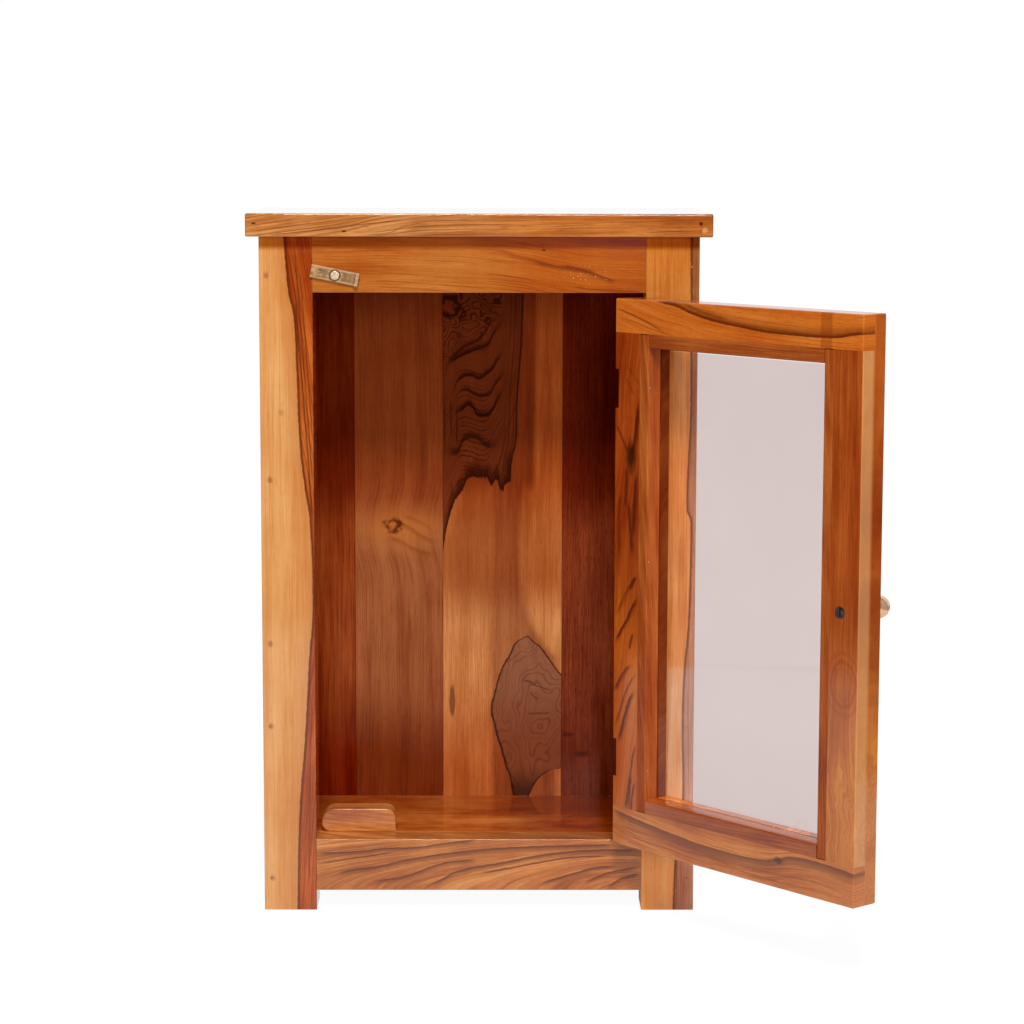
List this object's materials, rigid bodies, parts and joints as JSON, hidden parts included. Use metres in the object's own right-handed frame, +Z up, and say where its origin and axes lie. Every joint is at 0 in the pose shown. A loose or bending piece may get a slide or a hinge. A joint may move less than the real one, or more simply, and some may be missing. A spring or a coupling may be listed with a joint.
{
  "type": "glass door cabinet",
  "caption": "Free-standing wooden cabinet with an inset glazed door on butt hinges, a brass ball knob, a brass turn button on the top rail, a plank back and a stop block inside.",
  "frame": {"origin": "middle of the front left foot's sole, on the ground", "axes": "+X to the right seen from the front, +Y towards the back, +Z up"},
  "size_m": [0.5082, 0.4035, 0.586],
  "materials": {
    "wood": "oiled, satin",
    "dark_wood": "oiled, satin",
    "glass": "clear",
    "brass": "aged, polished",
    "steel": "dull"
  },
  "bodies": {
    "carcass": {"top_board": "wood", "front_post_left": "wood", "front_post_right": "wood", "back_post_left": "wood", "back_post_right": "wood", "top_front_rail": "wood", "bottom_front_rail": "wood", "top_back_rail": "wood", "bottom_back_rail": "wood", "side_board_left": "wood", "side_board_right": "wood", "floor_board": "wood", "floor_cleat_left": "wood", "floor_cleat_right": "wood", "top_cleat_left": "wood", "top_cleat_right": "wood", "door_stop_block": "wood", "back_plank_1": "dark_wood", "back_plank_2": "dark_wood", "back_plank_3": "dark_wood", "back_plank_4": "dark_wood", "side_board_nails": "steel", "floor_cleat_screws": "steel", "top_cleat_screws": "steel", "turn_button_screw": "brass", "hinge_post_screws": "brass", "upper_hinge_post_leaf": "brass", "upper_hinge_pin": "brass", "lower_hinge_post_leaf": "brass", "lower_hinge_pin": "brass"},
    "door": {"door_hinge_stile": "wood", "door_free_stile": "wood", "door_top_rail": "wood", "door_bottom_rail": "wood", "bead_free": "wood", "bead_hinge": "wood", "bead_top": "wood", "bead_bottom": "wood", "door_glass": "glass", "door_knob": "brass", "upper_hinge_door_leaf": "brass", "lower_hinge_door_leaf": "brass", "hinge_door_screws": "brass", "bead_pins": "steel", "door_knob_screw": "steel"},
    "turn_button": {"turn_button": "brass"}
  },
  "joints": [
    {"name": "door", "type": "hinge", "parent": "carcass", "child": "door", "pos_m": [0.29325, -0.02325, 0.29075], "axis": [0, 0, 1], "range_deg": [-130.6, 44.4]},
    {"name": "turn_button", "type": "hinge", "parent": "carcass", "child": "turn_button", "pos_m": [0.0405, -0.02, 0.5353], "axis": [0, 1, 0], "continuous": true}
  ]
}
